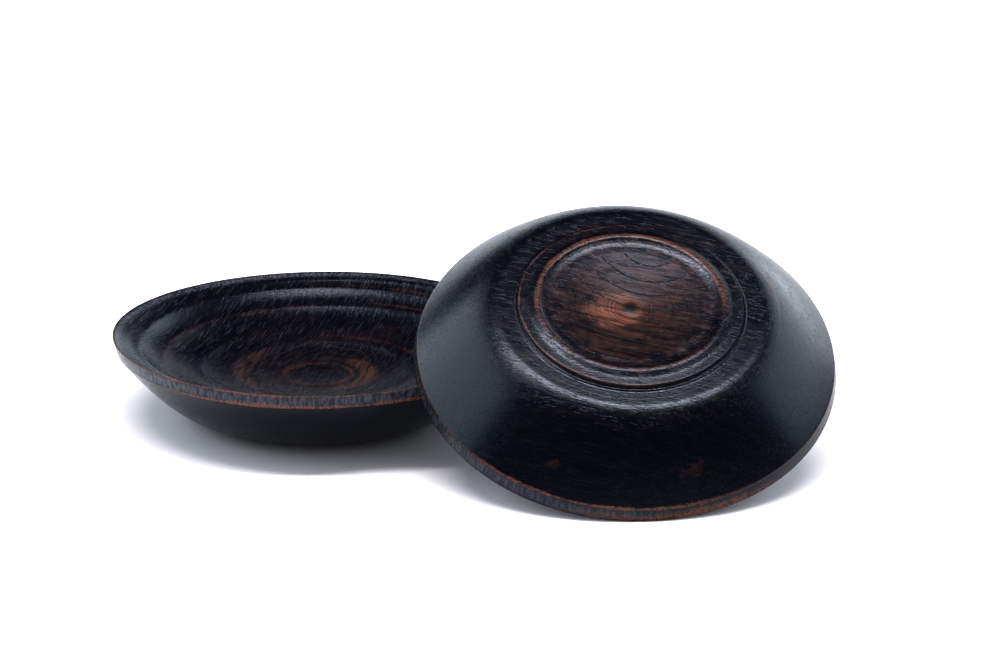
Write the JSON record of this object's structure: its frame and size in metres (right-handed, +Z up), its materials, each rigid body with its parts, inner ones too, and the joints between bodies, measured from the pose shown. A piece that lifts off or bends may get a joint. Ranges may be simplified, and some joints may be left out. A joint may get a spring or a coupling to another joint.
{
  "type": "go stone bowl with lid",
  "caption": "Shallow round turned wooden bowl for game stones, with a matching dish-shaped lid lying mouth down and leaning on its rim.",
  "frame": {"origin": "on the surface that the pair stands on, at the middle of its footprint", "axes": "+X from the bowl towards the lid, along the pair's longest side; +Z up; the lid slopes down towards -Y"},
  "size_m": [0.2262, 0.1678, 0.0713],
  "materials": {
    "bowl_wood": "near-black stained ring-porous wood, satin, worn to brown along the rim and on the crests inside",
    "lid_wood": "near-black stained ring-porous wood, satin, worn to brown along the rim, on the standing ring and in the foot hollow"
  },
  "bodies": {
    "bowl": {"bowl": "bowl_wood"},
    "lid": {"lid": "lid_wood"}
  },
  "joints": [
    {"name": "lid_lift", "type": "slide", "parent": "bowl", "child": "lid", "axis": [0, 0, 1], "range_m": [0, 0.11]}
  ]
}
